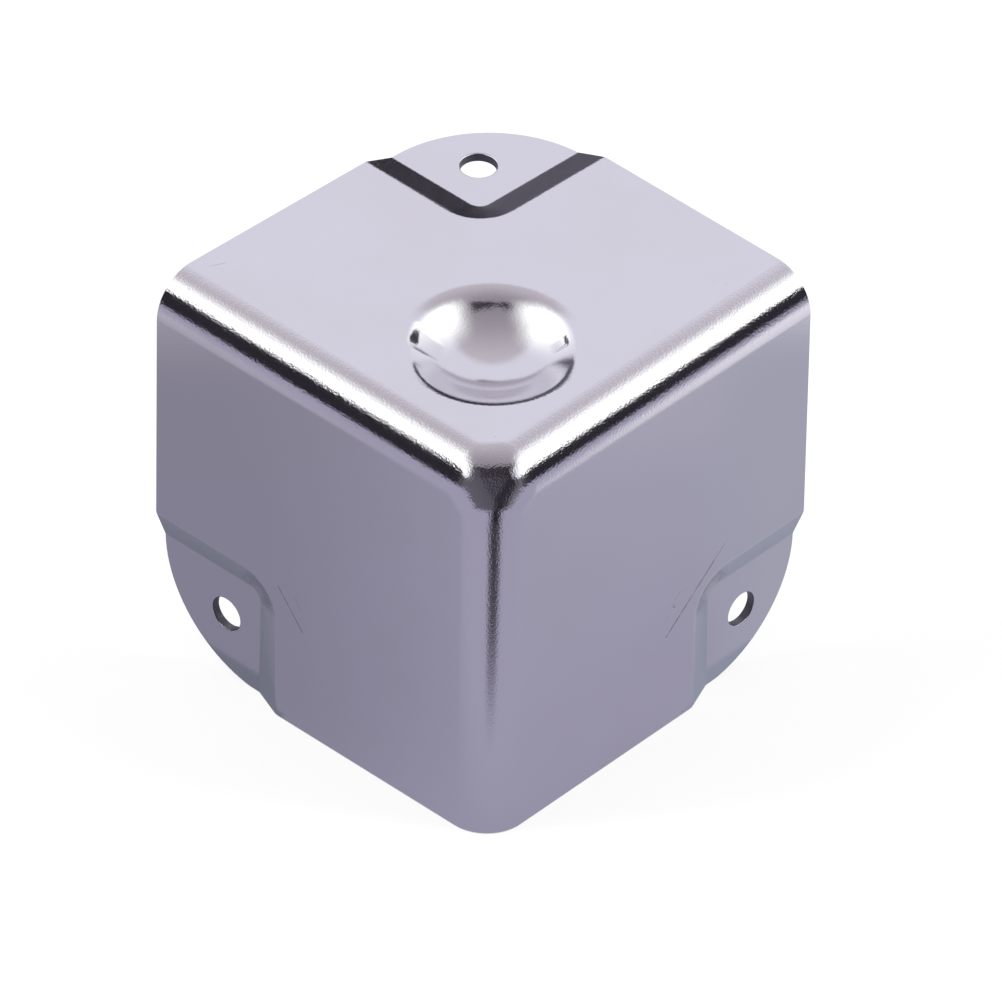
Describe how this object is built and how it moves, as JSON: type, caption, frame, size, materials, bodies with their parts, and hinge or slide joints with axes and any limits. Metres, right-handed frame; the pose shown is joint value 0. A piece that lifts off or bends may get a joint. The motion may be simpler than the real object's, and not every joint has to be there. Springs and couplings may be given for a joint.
{
  "type": "flight case corner",
  "caption": "Pressed sheet-steel box corner: square plates joined by rounded bends and a ball apex, each with a stepped rivet tab, and a round dish in the top plate.",
  "frame": {"origin": "the case's corner point, where the inner faces of the three plates would meet", "axes": "+Z out of the top plate, +X out of the side plate, -Y out of the front plate; the case fills the octant towards -X, +Y and -Z"},
  "size_m": [0.05, 0.05, 0.05],
  "materials": {
    "plated_steel": "bright plated sheet steel, satin on the flats, with fine handling scratches"
  },
  "bodies": {
    "root": {"corner_shell": "plated_steel"}
  },
  "joints": []
}
